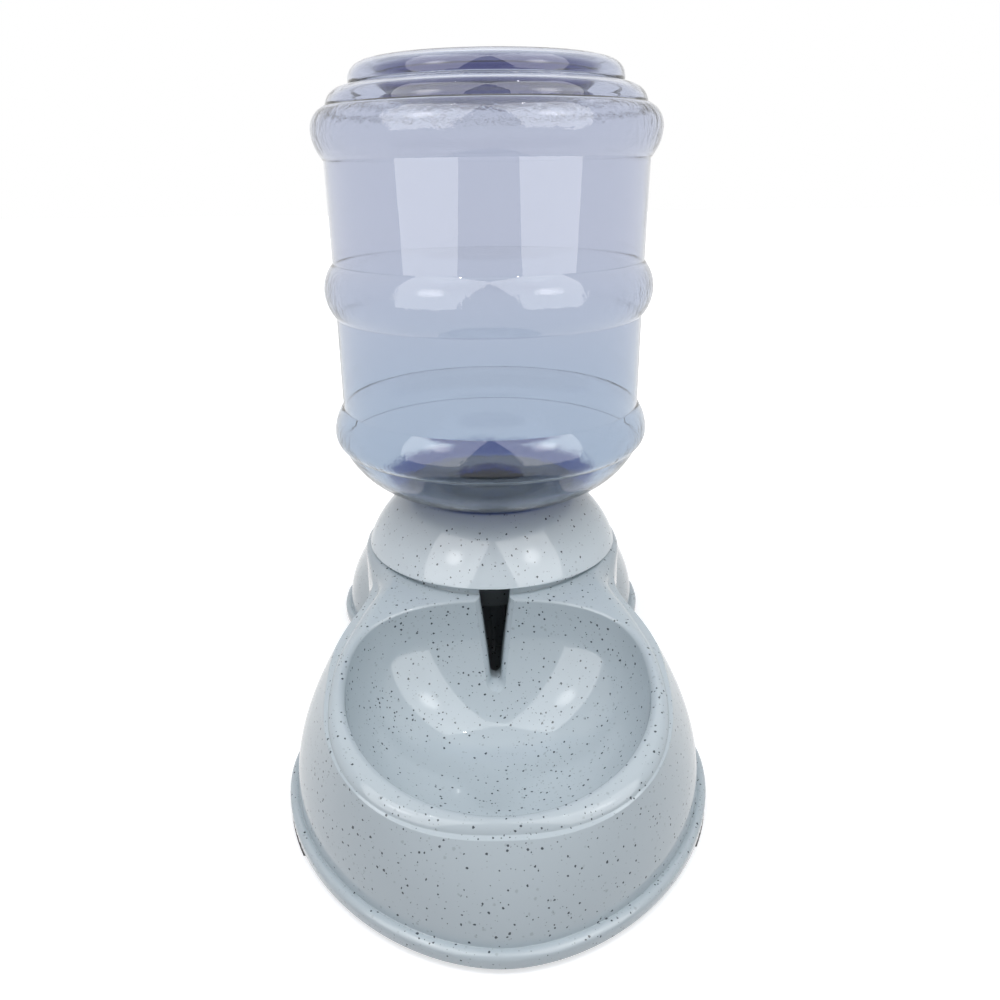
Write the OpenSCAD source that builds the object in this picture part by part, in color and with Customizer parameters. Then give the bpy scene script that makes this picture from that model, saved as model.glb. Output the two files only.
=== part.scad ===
// Gravity water dispenser for pets. A clear ribbed bottle stands neck down in a domed collar, and the
// collar rests on a one-piece moulded base: a deep bowl in front, and a well in the housing behind it.
// Millimetres. Z = 0 is the floor, -Y is the bowl's end, and X = 0 is the plane of symmetry.

/* [Base] */
// Length of the base along Y, over the flange
base_l = 318; // [305:1:335]
// Width of the flange round the bowl
base_w = 199.8; // [190:0.2:212]
// Width of the flange round the housing
rear_w = 197.6; // [188:0.2:210]
// Width of the flange at the waist between bowl and housing
waist_w = 153; // [146:1:166]
// Distance from the flange's front to its widest line
front_lobe = 112; // [106:1:118]
// Distance from the flange's rear to its widest line
rear_lobe = 26; // [22:1:32]
// Distance from that line forwards to where the flange's flare begins at the waist
rear_flare = 72; // [56:1:84]
// Distance of the bottle's axis behind the middle of the base
axis_y = 50.5; // [45:0.5:54]
// Height of the bead that runs round the floor edge
flange_h = 6.5; // [4:0.5:9]
// How far that bead stands out from the wall
flange_out = 4.25; // [3:0.25:6]
// Thickness of the moulding's walls
wall = 2.6; // [2:0.1:3.2]
// Thickness of the deck and the rim's top
deck_t = 4.4; // [3:0.2:6]
// Height of the rim at the front
rim_front_z = 54.5; // [48:0.5:62]
// Height of the deck that carries the collar
deck_z = 85.6; // [80:0.2:94]
// Width of the rim round the bowl
rim_w = 6.5; // [5:0.5:8]
// Rounding of the rim's outer edge
rim_round = 4; // [2:0.5:5]
// Rounding of the deck's edge at the waist
waist_round = 9; // [5:0.5:12]
// Width of the deck where it narrows between bowl and collar
deck_waist = 119; // [112:1:128]
// Width of the deck outside the collar
deck_out = 2.25; // [1.5:0.25:4]

/* [Bowl] */
// Width of the bowl's opening
bowl_w = 134; // [124:1:142]
// Distance from the flange's front to the bowl's opening
bowl_inset = 24; // [18:0.5:28]
// Distance from the bottle's axis to the widest line of the bowl
bowl_mid = 118; // [112:1:124]
// Distance from the bottle's axis to the back edge of the bowl
bowl_back = 69.4; // [67:0.2:74]
// Height of the bowl's floor
bowl_floor_z = 16; // [12:0.5:24]
// Rounding of the opening's inner edge
bowl_lip = 3; // [1.5:0.5:4]
// Rounding of the bowl's lip at the deck
lip_back = 1.2; // [0.6:0.2:2.4]

/* [Well] */
// Radius of the well under the collar
well_r = 61; // [56:0.5:62]
// Height of the well's floor
well_floor_z = 14; // [10:0.5:20]
// Width of the water slot at the deck
slot_top_w = 16; // [13:0.5:21]
// Width of the water slot at its foot
slot_low_w = 6.4; // [5:0.2:10]
// Height of the slot's foot
slot_low_z = 41; // [36:0.5:47]
// Radius of the ring on the deck that carries the collar
seat_r = 65.2; // [64:0.1:66]
// Radius of the post that opens the valve
post_r = 7; // [5:0.5:9]
// Thickness of the post's fins
post_t = 2.4; // [1.8:0.1:3.2]

/* [Collar] */
// Radius of the collar at its lower edge
collar_r = 68.2; // [67.5:0.1:71]
// Height of the dome's curve
dome_h = 39.8; // [37:0.2:44]
// Radius of the opening on top of the dome
dome_top_r = 37; // [34:0.5:41]
// Thickness of the collar's walls
collar_t = 2.4; // [1.8:0.1:3]
// Shadow gap between the collar's outer edge and the deck
shadow_gap = 0.8; // [0.4:0.1:1.6]
// Depth of the lip that centres the collar in the well
spigot_h = 6; // [3:0.5:10]
// Clearance of that lip in the well
spigot_gap = 0.6; // [0.3:0.1:1]
// Inner radius of the outlet tube
outlet_r = 14.6; // [13.5:0.1:15.5]
// Height of the outlet's lower edge, which sets the water level
outlet_z = 49; // [47.5:0.5:52]
// Radius of the hole in the valve seat
seat_hole_r = 8; // [7:0.25:9]
// Ledge that holds the valve cage, measured down from the socket's floor
cage_drop = 20; // [18:0.5:23]

/* [Bottle] */
// Radius of the bottle's straight panels
panel_r = 77; // [74:0.5:79]
// How far the ribs stand out from the panels
rib_out = 5; // [3:0.25:6.5]
// Thickness of the bottle's wall
bottle_t = 1; // [0.8:0.1:1.6]
// Height of the shoulder's lowest ring above the collar's dished top
shoulder_gap = 2.6; // [1.5:0.1:4]
// Height of the bottle from its shoulder to its top
bottle_h = 205; // [190:1:230]
// Radius of the arc of the shoulder
shoulder_arc = 43.4; // [40:0.2:46]
// Height of the lower rib's crown above the shoulder
low_rib_z = 33; // [31:0.5:36]
// Height of the middle rib's crown above the shoulder
mid_rib_z = 105; // [95:0.5:112]
// Depth of the top rib's crown below the bottle's top
top_rib_z = 28; // [26:0.5:32]
// Half height of the middle rib
rib_half = 13; // [10:0.5:15]
// Depth of the recess in the bottle's base
base_recess = 15; // [10:0.5:22]
// Outer radius of the neck
neck_r = 20.8; // [20:0.1:22]
// Radius of the neck's bore
neck_bore = 17.5; // [16.5:0.1:18]
// Length of the neck below the shoulder
neck_l = 26.5; // [24:0.5:30]
// Clearance round the neck in the collar's socket, which leaves room for the threads
neck_gap = 1.8; // [1.4:0.1:2.4]
// Thickness of the washer under the neck
washer_t = 2; // [1.5:0.25:3]

/* [Valve] */
// Lift of the valve over its seat while the post holds it open
valve_lift = 4; // [3:0.25:5]
// Radius of the plunger's disc
disc_r = 11.4; // [10.5:0.1:12]
// Thickness of the plunger's disc
disc_t = 2; // [1.5:0.25:3]
// Radius of the plunger's guide rod
rod_r = 2.5; // [2:0.1:3]
// Running clearance of the rod in the cage
rod_gap = 0.06; // [0.03:0.01:0.1]
// Thickness of the valve's rubber seal
seal_t = 2; // [1.5:0.25:3]
// Diameter of the spring's wire
wire_d = 0.8; // [0.6:0.1:1]
// Mean radius of the spring
spring_r = 4.2; // [4:0.1:4.6]
// Number of turns in the spring
spring_turns = 5; // [4:1:6]
// Height of the valve cage
cage_h = 6; // [4:0.5:8]

/* [Feet] */
// Height of the rubber feet below the flange
foot_h = 2.5; // [2:0.25:4]
// Depth to which each foot is let into the flange
foot_recess = 1.5; // [1:0.25:2]
// Length of each foot along Y
foot_l = 40; // [30:1:48]
// Width of each foot
foot_w = 9; // [7:0.5:11]
// Distance of the front feet's middle ahead of the bottle's axis
foot_front = 129; // [115:1:136]
// Distance of the rear feet's middle behind the bottle's axis
foot_rear = 62; // [50:1:66]
// Distance of the rear feet in from the flange's edge
foot_in = 4; // [2:0.5:6]
// Radius of the studs that hold the feet
stud_r = 2.4; // [2:0.1:3]
// Length of those studs
stud_l = 3.5; // [2.5:0.25:4]

/* [Hidden] */
$fn = 96;

// Points along each side of the base's outlines, and round the bowl
side_n = 34;
bowl_n = 64;

// Ends of the base and its main stations, measured along Y from the bottle's axis
front_end = -base_l / 2 - axis_y;
rear_end = base_l / 2 - axis_y;
front_mid = front_end + front_lobe;
rear_mid = rear_end - rear_lobe;
bowl_front = front_end + bowl_inset;
rim_front = bowl_front - rim_w;
rim_rear = collar_r + deck_out;
slope_end = -53;
wall_z = foot_h + flange_h;

// How round the lobes and the bowl's back are, how sharply they run together, and how the wall leans in
front_n = 1.84;
rear_n = 3.4;
flare_n = 2.5;
bowl_n_back = 2.6;
join_n = 16;
lean_n = 1.83;
rim_n = 2.4;
deck_n = 2.2;

// Where the deck's larger edge rounding starts and ends, and where the bowl's lip starts to widen
waist_ease = 40;
waist_end = 22;
waist_full = 44;
lip_ease = 8;

// Heights of the collar and the neck's socket
edge_z = deck_z + shadow_gap;
dome_in = 1.9;
dome_start = 3.4;
dome_z = edge_z - dome_start;
dome_low = asin(dome_start / dome_h);
dome_high = acos((dome_top_r - dome_in) / (collar_r - dome_in));
dome_top_z = dome_z + dome_h * sin(dome_high);
dish_z = dome_top_z - 1;
shoulder_z = dish_z + shoulder_gap;
mouth_z = shoulder_z - neck_l;
socket_z = mouth_z - washer_t;
socket_r = neck_r + neck_gap;
cage_z = socket_z - cage_drop;
seat_z = outlet_z + collar_t;
top_z = shoulder_z + bottle_h;

// Radii and stations of the bottle's ribs, and of the rings that step in above the top rib
rib_r = panel_r + rib_out;
arc_r = rib_r - shoulder_arc;
low_half = 6.5;
low_in = 3.2;
crease_z = shoulder_z + low_rib_z - low_half;
crease_a = asin((shoulder_z + shoulder_arc - crease_z) / shoulder_arc);
step_r = 8.4;
step_x = rib_r - 15.4;
step_z = top_z - 18.6;
cap_r = 7;
cap_x = rib_r - 25;
lip_r = 4;
lip_x = cap_x - 3;
recess_r = lip_x - 8;
recess_edge = 9;

// Heights of the valve, with the plunger held open
seal_z = seat_z + valve_lift;
disc_z = seal_z + seal_t;
spring_z = disc_z + disc_t;
post_z = outlet_z - 5;
keep_h = 1.5;
keep_out = 3.5;
seal_in = 2.5;
fit_gap = 0.05;

// Height of the pads inside the flange that take the feet's studs
pad_h = 5;
pad_out = 2.5;

// Half width of a lobe with its own front and rear reach, and a smooth union of three half widths
function lobe(y, mid, half, ahead, behind, n) =
    let (d = abs(y - mid) / (y < mid ? ahead : behind)) d >= 1 ? 0 : half * pow(1 - pow(d, n), 1 / n);
function join3(a, b, c) = pow(pow(a, join_n) + pow(b, join_n) + pow(c, join_n), 1 / join_n);

// Half width of the flange and of the rim, at a distance in from their edge
function foot_half(y, in) = join3(
    lobe(y, front_mid, base_w / 2 - in, front_lobe - in, front_lobe, front_n),
    lobe(y, 10, waist_w / 2 - in, 78, 78, 4),
    lobe(y, rear_mid, rear_w / 2 - in, rear_flare, rear_lobe - in, y < rear_mid ? flare_n : rear_n));
function rim_half(y, in) = join3(
    lobe(y, -bowl_mid, bowl_w / 2 + rim_w - in, -bowl_mid - rim_front - in, 88,
         y < -bowl_mid ? rim_n : deck_n),
    lobe(y, -30, deck_waist / 2 - in, 62, 62, 6),
    lobe(y, 0, rim_rear - in, rim_rear - in, rim_rear - in, 2));

// Stations along a side, close together at both ends
function ease(u) = u * u / (u * u + (1 - u) * (1 - u));
function station(y0, y1, i) = y0 + (y1 - y0) * ease(i / side_n);

// Closed outlines, anticlockwise from the front, as lists of points
function side_of(i) = i <= side_n ? 1 : -1;
function step_of(i) = i <= side_n ? i : 2 * side_n - i;
function foot_line(in) = [for (i = [0 : 2 * side_n - 1])
    let (y = station(front_end + in, rear_end - in, step_of(i))) [side_of(i) * foot_half(y, in), y]];
function rim_line(in) = [for (i = [0 : 2 * side_n - 1])
    let (y = station(rim_front + in, rim_rear - in, step_of(i))) [side_of(i) * rim_half(y, in), y]];

// Height of the rim and deck: a plane that rises from the front and runs smoothly into the deck
function soft(v) = 3 * ln(1 + exp(v / 3));
function top_at(y) =
    deck_z - soft((deck_z - rim_front_z) * (1 - (y - bowl_front) / (slope_end - bowl_front)));

// A solid between closed rings that all have the same number of points. Where a ring's left side
// mirrors its right, its ends close in strips across, which suits an outline with a waist.
module loft(rings, strips = true) {
    n = len(rings[0]);
    m = len(rings);
    half = n / 2;
    function cap(o) = strips
        ? [[o, o + 1, o + n - 1],
           for (i = [1 : half - 2])
               each [[o + i, o + i + 1, o + n - i - 1], [o + i, o + n - i - 1, o + n - i]],
           [o + half - 1, o + half, o + half + 1]]
        : [for (i = [1 : n - 2]) [o, o + i, o + i + 1]];
    function turned(faces) = [for (f = faces) [f[2], f[1], f[0]]];
    polyhedron(
        points = [for (ring = rings) each ring],
        faces = [
            each cap(0),
            for (j = [0 : m - 2]) for (i = [0 : n - 1])
                each [[j * n + i, (j + 1) * n + i, (j + 1) * n + (i + 1) % n],
                      [j * n + i, (j + 1) * n + (i + 1) % n, j * n + (i + 1) % n]],
            each turned(cap((m - 1) * n))
        ]);
}

// Radius of the rim's outer edge: small round the bowl and the collar, larger at the waist between them
function ramp(y, y0, y1) = let (v = min(1, max(0, (y - y0) / (y1 - y0)))) v * v * (3 - 2 * v);
function waist_share(y) = ramp(y, -bowl_mid, -bowl_mid + waist_ease) * ramp(-y, waist_end, waist_full);
function round_at(y) = rim_round + (waist_round - rim_round) * waist_share(y);

// One ring of the wall: share runs from 0 at the foot to 1 at the rim
function wall_ring(in, drop, share) =
    let (foot = foot_line(flange_out + in), rim = rim_line(in))
    [for (i = [0 : len(foot) - 1])
        let (crest = top_at(rim[i][1]),
             z = wall_z + share * (crest - round_at(rim[i][1]) - drop - wall_z),
             lean = pow((z - wall_z) / (crest - wall_z), lean_n),
             p = foot[i] + (rim[i] - foot[i]) * lean)
        [p[0], p[1], z]];

// The rim's outer edge turns over in a round, and strips across the top ring make the deck
function round_ring(a) =
    let (near = rim_line(rim_round * (1 - cos(a))), far = rim_line(waist_round * (1 - cos(a))))
    [for (i = [0 : len(near) - 1])
        let (y = near[i][1], p = near[i] + (far[i] - near[i]) * waist_share(y))
        [p[0], p[1], top_at(p[1]) - round_at(y) * (1 - sin(a))]];
function flat_ring(in, z) = [for (p = foot_line(in)) [p[0], p[1], z]];

module outer_form() {
    bead = flange_h * 0.35;
    chamfer = 0.8;
    loft([
        flat_ring(chamfer, foot_h),
        flat_ring(0, foot_h + chamfer),
        flat_ring(0, wall_z - bead),
        for (a = [22.5 : 22.5 : 90]) flat_ring(bead * (1 - cos(a)), wall_z - bead * (1 - sin(a))),
        flat_ring(flange_out, wall_z - 0.5),
        for (s = [0 : 1 : 6]) wall_ring(0, 0, s / 6),
        for (a = [30 : 30 : 90]) round_ring(a)
    ]);
}

// Hollow under the moulding, before the bowl, well and slot get their own walls
module inner_form() {
    loft([
        flat_ring(flange_out + wall, foot_h - 1),
        flat_ring(flange_out + wall, wall_z),
        for (s = [1 : 1 : 5]) wall_ring(wall, deck_t - rim_round / 2, s / 5)
    ]);
}

// The bowl: grow thickens it to the outside of its wall
function bowl_at(a, grow) = let (
        c = cos(a), s = sin(a), n = s < 0 ? 2 : bowl_n_back,
        reach = (s < 0 ? -bowl_mid - bowl_front : bowl_mid - bowl_back) + grow)
    [(bowl_w / 2 + grow) * sign(c) * pow(abs(c), 2 / n),
     -bowl_mid + reach * sign(s) * pow(abs(s), 2 / n)];
function lip_at(y) = lip_back + (bowl_lip - lip_back) * ramp(-y, bowl_back + lip_ease, bowl_mid);
function bowl_ring(tilt, grow) =
    [for (i = [0 : bowl_n - 1])
        let (p = bowl_at(i * 360 / bowl_n, grow), top = top_at(p[1]) - lip_at(p[1]),
             low = bowl_floor_z - grow, k = sin(tilt))
        [p[0] * k, -bowl_mid + (p[1] + bowl_mid) * k, low + (top - low) * (1 - cos(tilt))]];
function lip_ring(a, grow, up) =
    [for (i = [0 : bowl_n - 1])
        let (lip = lip_at(bowl_at(i * 360 / bowl_n, grow)[1]),
             p = bowl_at(i * 360 / bowl_n, grow + lip * (1 - cos(a))))
        [p[0], p[1], top_at(p[1]) - lip * (1 - sin(a)) + up]];

module bowl_space() {
    loft([
        for (a = [10 : 10 : 90]) bowl_ring(a, 0),
        for (a = [30 : 30 : 90]) lip_ring(a, 0, 0),
        lip_ring(90, 0, deck_z)
    ], strips = false);
}

module bowl_shell() {
    loft([
        for (a = [15 : 15 : 90]) bowl_ring(a, wall),
        lip_ring(0, wall, deck_z)
    ], strips = false);
}

// The water slot through the wall between bowl and well
module slot_space(grow, y0, y1) {
    low_r = slot_low_w / 2 + grow;
    low_z = slot_low_z + slot_low_w / 2;
    translate([0, y1, 0]) rotate([90, 0, 0]) linear_extrude(y1 - y0)
        polygon([
            for (a = [180 : 22.5 : 360]) [low_r * cos(a), low_z + low_r * sin(a)],
            [slot_top_w / 2 + grow, deck_z + 1],
            [-slot_top_w / 2 - grow, deck_z + 1]
        ]);
}

// A strip that follows the flange's edge on one side: from out beyond it to w inside it, longer by extra
module foot_strip(mid, extra, out, w) {
    n = 10;
    y0 = mid - foot_l / 2 - extra;
    y1 = mid + foot_l / 2 + extra;
    polygon([
        for (i = [0 : n]) let (y = y0 + (y1 - y0) * i / n) [foot_half(y, 0) + out, y],
        for (i = [n : -1 : 0]) let (y = y0 + (y1 - y0) * i / n) [foot_half(y, 0) - w, y]
    ]);
}
module foot_studs(mid, in, r, h) {
    for (y = [mid - foot_l / 4, mid + foot_l / 4])
        translate([foot_half(y, 0) - in - foot_w / 2, y, foot_h]) cylinder(r = r, h = h);
}
module foot_pad(mid, in) {
    translate([0, 0, foot_h]) linear_extrude(pad_h) foot_strip(mid, pad_out, -1, in + foot_w + pad_out);
}
module foot_pocket(mid, in) {
    translate([0, 0, foot_h - 1]) linear_extrude(1 + foot_recess)
        foot_strip(mid, fit_gap, in > 0 ? fit_gap - in : 1, in + foot_w + fit_gap);
    foot_studs(mid, in, stud_r + fit_gap, stud_l + fit_gap);
}

// The moulding's skin: the outer form hollowed from below, with the bowl let in from above
module shell() {
    difference() {
        outer_form();
        bowl_space();
        difference() {
            inner_form();
            bowl_shell();
            translate([0, 0, well_floor_z - wall]) cylinder(r = well_r + wall, h = deck_z);
            slot_space(wall, -bowl_back - 18, -well_r + 8);
        }
    }
}

module base_body() {
    difference() {
        union() {
            shell();
            translate([0, 0, deck_z - deck_t - 2]) cylinder(r = seat_r, h = deck_t + 2);
            for (side = [0, 1]) mirror([side, 0, 0]) {
                foot_pad(-foot_front, 0);
                foot_pad(foot_rear, foot_in);
            }
        }
        translate([0, 0, well_floor_z]) cylinder(r = well_r, h = deck_z);
        slot_space(0, -bowl_mid, -well_r + 12);
        for (side = [0, 1]) mirror([side, 0, 0]) {
            foot_pocket(-foot_front, 0);
            foot_pocket(foot_rear, foot_in);
        }
    }
    for (turn = [0, 90]) rotate([0, 0, turn])
        translate([-post_r, -post_t / 2, well_floor_z - 0.5])
            cube([2 * post_r, post_t, post_z - well_floor_z + 0.5]);
}

module base() {
    color([0.78, 0.82, 0.85]) translate([0, axis_y, 0]) base_body();
}

// A rubber foot: a strip under the bead with two studs that press up into the flange
module foot(mid, in, side) {
    color([0.08, 0.08, 0.09]) translate([0, axis_y, 0]) mirror([side, 0, 0]) {
        linear_extrude(foot_h + foot_recess) foot_strip(mid, 0, -in, in + foot_w);
        foot_studs(mid, in, stud_r, stud_l);
    }
}
module foot_front_left() foot(-foot_front, 0, 1);
module foot_front_right() foot(-foot_front, 0, 0);
module foot_rear_left() foot(foot_rear, foot_in, 1);
module foot_rear_right() foot(foot_rear, foot_in, 0);

// Outline of the dome, thinned by t from its outside
function dome_at(a, t) = [dome_in + (collar_r - dome_in - t) * cos(a), dome_z + (dome_h - t) * sin(a)];

// The collar: dome, dished top, socket for the neck and outlet tube, moulded in one piece
module collar() {
    n = 14;
    under_z = deck_z + collar_t;
    inner_low = asin((under_z - dome_z) / (dome_h - collar_t));
    inner_high = dome_high - 2;
    spigot_r = well_r - spigot_gap;
    color([0.8, 0.84, 0.87]) translate([0, axis_y, 0]) rotate_extrude() polygon([
        [seat_r + 1, deck_z],
        [seat_r + 1, edge_z],
        for (i = [0 : n]) dome_at(dome_low + (dome_high - dome_low) * i / n, 0),
        [dome_top_r - 1.2, dome_top_z - 0.1],
        [dome_top_r - 2.6, dish_z],
        [socket_r + 1, dish_z],
        [socket_r, dish_z - 1],
        [socket_r, socket_z],
        [outlet_r, socket_z],
        [outlet_r, cage_z],
        [outlet_r - 1, cage_z],
        [outlet_r - 1, seat_z],
        [seat_hole_r, seat_z],
        [seat_hole_r, outlet_z],
        [outlet_r + collar_t, outlet_z],
        [outlet_r + collar_t, socket_z - collar_t],
        [socket_r + collar_t, socket_z - collar_t],
        [socket_r + collar_t, dish_z - collar_t],
        for (i = [n : -1 : 0]) dome_at(inner_low + (inner_high - inner_low) * i / n, collar_t),
        [spigot_r - collar_t, under_z],
        [spigot_r - collar_t, deck_z - spigot_h],
        [spigot_r, deck_z - spigot_h],
        [spigot_r, deck_z]
    ]);
}

// Washer between the neck's mouth and the socket's floor
module neck_washer() {
    color([0.93, 0.93, 0.9]) translate([0, axis_y, socket_z]) difference() {
        cylinder(r = neck_r + 0.8, h = washer_t);
        translate([0, 0, -1]) cylinder(r = neck_bore, h = washer_t + 2);
    }
}

// Half of a rib from its crown: up is 1 or -1, t is the distance in from the outside
function half_rib(crown, z, depth, rise, up, t) =
    let (r = (rise * rise + depth * depth) / (2 * depth), sweep = asin(rise / r))
    [for (i = [0 : 8]) let (a = sweep * i / 8) [crown - r + (r - t) * cos(a), z + up * (r - t) * sin(a)]];
function flip(list) = [for (i = [len(list) - 1 : -1 : 0]) list[i]];
function arc(c, r, a0, a1, n) =
    [for (i = [0 : n]) let (a = a0 + (a1 - a0) * i / n) c + r * [cos(a), sin(a)]];

// The bottle's side from shoulder to base, t in from the outside
function bottle_side(t) = concat(
    arc([arc_r, shoulder_z + shoulder_arc], shoulder_arc - t, -90, -crease_a, 10),
    flip(half_rib(rib_r, shoulder_z + low_rib_z, low_in, low_half, -1, t)),
    half_rib(rib_r, shoulder_z + low_rib_z, rib_out, rib_half + 1, 1, t),
    flip(half_rib(rib_r, shoulder_z + mid_rib_z, rib_out, rib_half, -1, t)),
    half_rib(rib_r, shoulder_z + mid_rib_z, rib_out, rib_half, 1, t),
    flip(half_rib(rib_r + 0.5, top_z - top_rib_z, rib_out, rib_half, -1, t)),
    half_rib(rib_r + 0.5, top_z - top_rib_z, 5.5, 9.4, 1, t),
    arc([step_x, step_z], step_r - t, 0, 90, 6),
    arc([cap_x, top_z - cap_r], cap_r - t, -15, 90, 8),
    arc([lip_x, top_z - lip_r], lip_r - t, 90, 180, 5),
    [for (i = [0 : 6]) let (k = 1 - i / 6)
        [recess_r * k, top_z - base_recess + (base_recess - recess_edge) * k * k - t]]);

module bottle() {
    color([0.62, 0.7, 0.9, 0.45]) translate([0, axis_y, 0]) rotate_extrude() polygon(concat(
        [[neck_bore, mouth_z], [neck_r, mouth_z]],
        arc([neck_r + 3, shoulder_z - 3], 3, 180, 90, 4),
        bottle_side(0),
        flip(bottle_side(bottle_t)),
        [[neck_bore + 1, shoulder_z + bottle_t], [neck_bore, shoulder_z - 1]]
    ));
}

// The cage snaps into the outlet tube and guides the plunger's rod
module valve_cage() {
    ring_r = outlet_r - fit_gap;
    arm_w = 1.8;
    color([0.9, 0.9, 0.92]) translate([0, axis_y, cage_z]) difference() {
        union() {
            difference() {
                cylinder(r = ring_r, h = cage_h);
                translate([0, 0, -1]) cylinder(r = ring_r - 2, h = cage_h + 2);
            }
            cylinder(r = spring_r + 1, h = cage_h);
            for (turn = [0 : 60 : 120]) rotate([0, 0, turn])
                translate([-ring_r + 1, -arm_w / 2, 0]) cube([2 * ring_r - 2, arm_w, cage_h - 1]);
        }
        translate([0, 0, -1]) cylinder(r = rod_r + rod_gap, h = cage_h + 2);
    }
}

// The plunger: guide rod, disc, a neck for the seal, and the pusher that stands on the post
module valve_stem() {
    color([0.9, 0.9, 0.92]) translate([0, axis_y, 0]) rotate_extrude() polygon([
        [0, post_z], [rod_r + 0.5, post_z], [rod_r + 0.5, seal_z - keep_h],
        [rod_r + seal_in + 0.5, seal_z - keep_h], [rod_r + keep_out, seal_z], [rod_r + seal_in, seal_z],
        [rod_r + seal_in, disc_z], [disc_r, disc_z], [disc_r, spring_z], [rod_r, spring_z],
        [rod_r, cage_z + cage_h + 3], [rod_r - 0.8, cage_z + cage_h + 4], [0, cage_z + cage_h + 4]
    ]);
}

// Rubber ring under the plunger's disc
module valve_seal() {
    color([0.12, 0.12, 0.13]) translate([0, axis_y, seal_z]) difference() {
        cylinder(r = disc_r - 0.4, h = seal_t);
        translate([0, 0, -1]) cylinder(r = rod_r + seal_in + fit_gap, h = seal_t + 2);
    }
}

// Compression spring between the disc and the cage, with its end coils closed flat
module valve_spring() {
    sides = 6;
    per_turn = 18;
    steps = spring_turns * per_turn;
    low = spring_z + wire_d / 2;
    high = cage_z - wire_d / 2;
    function climb(u) = let (v = max(0, min(1, (u * spring_turns - 0.75) / (spring_turns - 1.5)))) v;
    color([0.75, 0.76, 0.78]) translate([0, axis_y, 0]) loft([
        for (i = [0 : steps])
            let (turn = i * 360 / per_turn, z = low + (high - low) * climb(i / steps))
            [for (k = [0 : sides - 1])
                let (a = k * 360 / sides, r = spring_r + wire_d / 2 * cos(a))
                [r * cos(turn), r * sin(turn), z + wire_d / 2 * sin(a)]]
    ], strips = false);
}

base();
collar();
bottle();
neck_washer();
valve_cage();
valve_stem();
valve_seal();
valve_spring();
foot_front_left();
foot_front_right();
foot_rear_left();
foot_rear_right();
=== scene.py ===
import math

import bmesh
import bpy
from mathutils import Matrix, Vector


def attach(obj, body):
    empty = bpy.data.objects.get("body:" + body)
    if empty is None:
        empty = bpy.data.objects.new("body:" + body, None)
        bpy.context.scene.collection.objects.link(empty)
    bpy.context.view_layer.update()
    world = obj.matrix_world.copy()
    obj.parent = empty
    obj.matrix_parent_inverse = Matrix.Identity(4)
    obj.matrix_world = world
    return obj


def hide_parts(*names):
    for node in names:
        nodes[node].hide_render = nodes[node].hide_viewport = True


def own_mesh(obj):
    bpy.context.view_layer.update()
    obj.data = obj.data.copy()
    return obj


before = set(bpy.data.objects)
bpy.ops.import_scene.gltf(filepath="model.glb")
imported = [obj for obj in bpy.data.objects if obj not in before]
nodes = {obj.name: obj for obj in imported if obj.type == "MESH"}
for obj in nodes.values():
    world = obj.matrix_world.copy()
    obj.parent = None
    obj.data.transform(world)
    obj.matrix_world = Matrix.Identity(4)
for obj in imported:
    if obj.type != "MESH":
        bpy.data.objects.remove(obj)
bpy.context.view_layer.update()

# The picture: a hand-held view from the bowl's end, a little above the middle of the bottle, with a
# slight turn and roll. The dispenser stands on a pale sheet. Two tall softboxes show as windows in
# its gloss, soft lamps above them and overhead light it, and the background is white.
AXIS_Y = 0.0505
CAMERA_Z = 0.27639
FLOOR_HALF, FLOOR_Z = 6.0, -0.0002
camera_data = bpy.data.cameras.new("camera")
camera_data.lens = 29.895
camera_data.sensor_width = 36
camera_data.shift_x = 0.0085
camera_data.clip_start = 0.02
camera = bpy.data.objects.new("camera", camera_data)
bpy.context.scene.collection.objects.link(camera)
TURN, PITCH, ROLL = math.radians(0.82), math.radians(21.495), math.radians(0.714)
REACH = 0.43097
camera.matrix_world = (
    Matrix.Translation((-REACH * math.sin(TURN), AXIS_Y - REACH * math.cos(TURN), CAMERA_Z))
    @ Matrix.Rotation(-TURN, 4, "Z")
    @ Matrix.Rotation(math.pi / 2 - PITCH, 4, "X")
    @ Matrix.Rotation(-ROLL, 4, "Z")
)
bpy.context.scene.camera = camera
bpy.context.scene.view_settings.view_transform = "Standard"


def new_finish(name):
    """A new finish: its material, node tree, Principled shader, and a function that adds linked nodes."""
    made = bpy.data.materials.new(name)
    made.use_nodes = True
    tree = made.node_tree
    shader = tree.nodes["Principled BSDF"]

    def add(kind, links=(), **values):
        node = tree.nodes.new(kind)
        for key, value in values.items():
            if key.startswith("in_"):
                node.inputs[int(key[3:])].default_value = value
            else:
                setattr(node, key, value)
        for socket, source in links:
            tree.links.new(source, node.inputs[socket])
        return node

    return made, tree, shader, add


floor_mesh = bpy.data.meshes.new("floor")
corners = [(x * FLOOR_HALF, y * FLOOR_HALF, FLOOR_Z) for x, y in ((-1, -1), (1, -1), (1, 1), (-1, 1))]
floor_mesh.from_pydata(corners, [], [(0, 1, 2, 3)])
floor = bpy.data.objects.new("floor", floor_mesh)
bpy.context.scene.collection.objects.link(floor)
pale_sheet, tree, shader, add = new_finish("pale_sheet")
shader.inputs["Base Color"].default_value = (0.66, 0.66, 0.67, 1)
shader.inputs["Roughness"].default_value = 0.9
shader.inputs["Specular IOR Level"].default_value = 0.1
place = add("ShaderNodeTexCoord")
away = add("ShaderNodeVectorMath", [(0, place.outputs["Object"])], operation="LENGTH")
brighter = add("ShaderNodeMapRange", [(0, away.outputs["Value"])], in_1=0.22, in_2=0.62, in_3=0.56, in_4=1.05)
glow = add("ShaderNodeEmission", [(1, brighter.outputs[0])])
lit = add("ShaderNodeAddShader", [(0, shader.outputs[0]), (1, glow.outputs[0])])
rays = add("ShaderNodeLightPath")
white = add("ShaderNodeEmission", in_1=1.0)
glossy, passed = rays.outputs["Is Glossy Ray"], rays.outputs["Is Transmission Ray"]
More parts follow.
